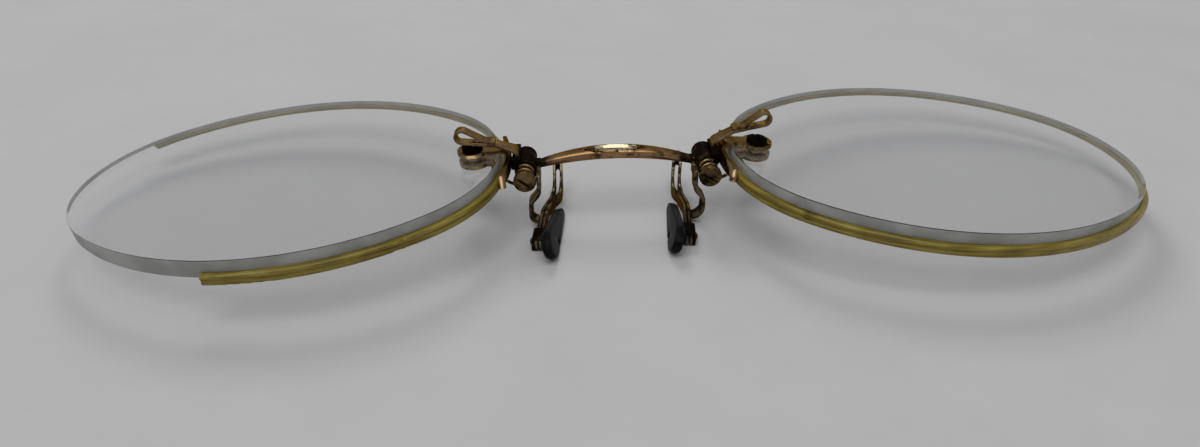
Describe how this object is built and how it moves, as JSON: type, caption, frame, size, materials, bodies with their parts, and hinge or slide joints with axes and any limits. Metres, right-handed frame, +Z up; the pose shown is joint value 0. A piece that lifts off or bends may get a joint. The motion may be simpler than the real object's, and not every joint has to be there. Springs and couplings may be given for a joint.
{
  "type": "pince nez",
  "caption": "Rimless finger-piece pince-nez with oval lenses, an arched bridge, sprung levers with nose pads and yellowed rim strips.",
  "frame": {"origin": "on the table under the middle of the object's outline", "axes": "+X along the bridge towards the lens with the whole rim strip, +Y away from the viewer, +Z up, away from the wearer's face"},
  "size_m": [0.0988, 0.0308, 0.0096],
  "materials": {
    "glass": "clear polished glass with a ground grey edge",
    "rim_strip": "yellowed translucent celluloid, worn and streaked",
    "bridge_metal": "rose gold filled bar, dark patina at the ends",
    "gold_metal": "pale gold filled sheet, worn bright on its edges",
    "dark_metal": "gold filled metal under nearly black tarnish",
    "aged_metal": "tarnished gold filled strip, rubbed bright on its faces",
    "black_screw": "blackened steel",
    "bronze_screw": "golden brown tarnished screw metal",
    "spring_wire": "golden brown drawn wire",
    "pad_plastic": "charcoal pad, worn grey on the nose side"
  },
  "bodies": {
    "frame": {"bridge": "bridge_metal", "left_lens": "glass", "right_lens": "glass", "left_rim": "rim_strip", "right_rim": "rim_strip", "left_stud": "dark_metal", "right_stud": "dark_metal", "left_strap": "gold_metal", "right_strap": "gold_metal", "left_lens_screw": "black_screw", "right_lens_screw": "black_screw", "left_pivot_screw": "bronze_screw", "right_pivot_screw": "bronze_screw", "left_coil_spring": "spring_wire", "right_coil_spring": "spring_wire"},
    "left_lever": {"left_yoke": "dark_metal", "left_finger_strip": "gold_metal", "left_guard_arm": "aged_metal", "left_guard_loop": "aged_metal", "left_pad_clip": "dark_metal", "left_pad_rivet": "bronze_screw", "left_pad": "pad_plastic"},
    "right_lever": {"right_yoke": "dark_metal", "right_finger_strip": "gold_metal", "right_guard_arm": "aged_metal", "right_guard_loop": "aged_metal", "right_pad_clip": "dark_metal", "right_pad_rivet": "bronze_screw", "right_pad": "pad_plastic"}
  },
  "joints": [
    {"name": "left_lever_pivot", "type": "hinge", "parent": "frame", "child": "left_lever", "pos_m": [-0.00857, -0.0003, 0.0052], "axis": [0, 1, 0], "range_deg": [0, 28], "stiffness_Nm_per_rad": 0.001, "springref_deg": -57.3, "deforming": ["left_coil_spring"]},
    {"name": "right_lever_pivot", "type": "hinge", "parent": "frame", "child": "right_lever", "pos_m": [0.00803, -0.0003, 0.0052], "axis": [0, -1, 0], "range_deg": [0, 28], "stiffness_Nm_per_rad": 0.001, "springref_deg": -57.3, "deforming": ["right_coil_spring"]}
  ]
}
